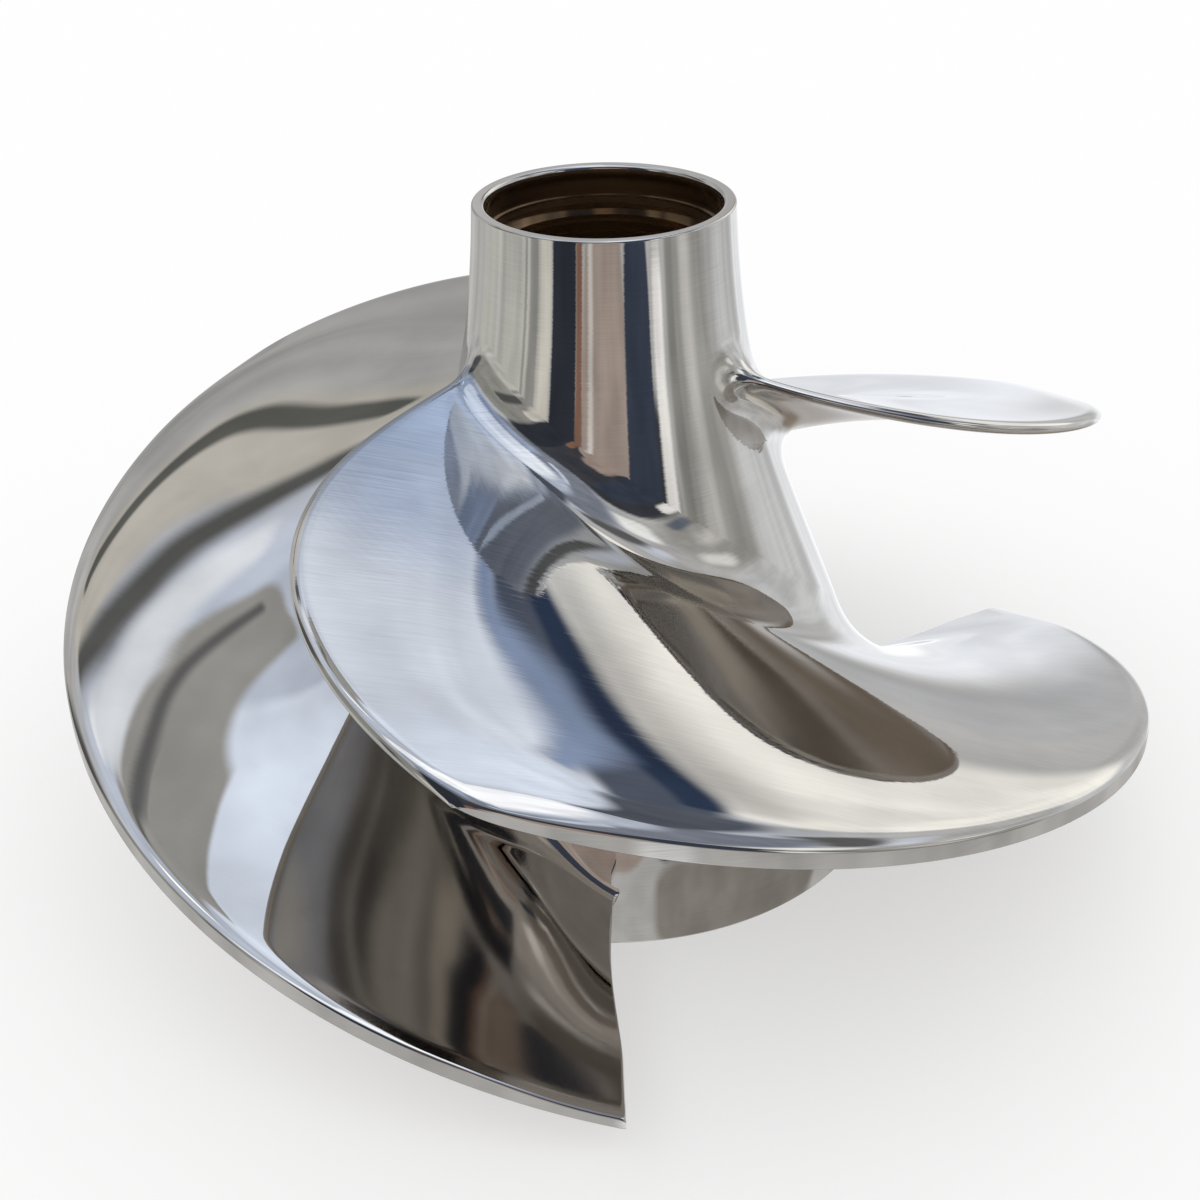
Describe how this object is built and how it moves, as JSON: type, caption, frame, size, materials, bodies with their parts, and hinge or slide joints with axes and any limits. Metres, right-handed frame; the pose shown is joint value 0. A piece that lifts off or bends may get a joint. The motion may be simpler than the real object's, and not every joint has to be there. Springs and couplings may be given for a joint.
{
  "type": "jet pump impeller",
  "caption": "Cast and polished axial-flow pump impeller: flared hub with an open inlet collar, swept helical blades and a splined bore.",
  "frame": {"origin": "centre of the hub's rear rim, on the axis of rotation", "axes": "+Z along the axis, from the rear rim to the inlet collar; +X is 30.4 degrees clockwise, seen from the inlet, from the outer end of one blade's trailing edge"},
  "size_m": [0.1604, 0.1604, 0.094],
  "materials": {
    "steel": "mirror-polished stainless steel with faint hairline brushing"
  },
  "bodies": {
    "root": {"impeller": "steel"}
  },
  "joints": []
}
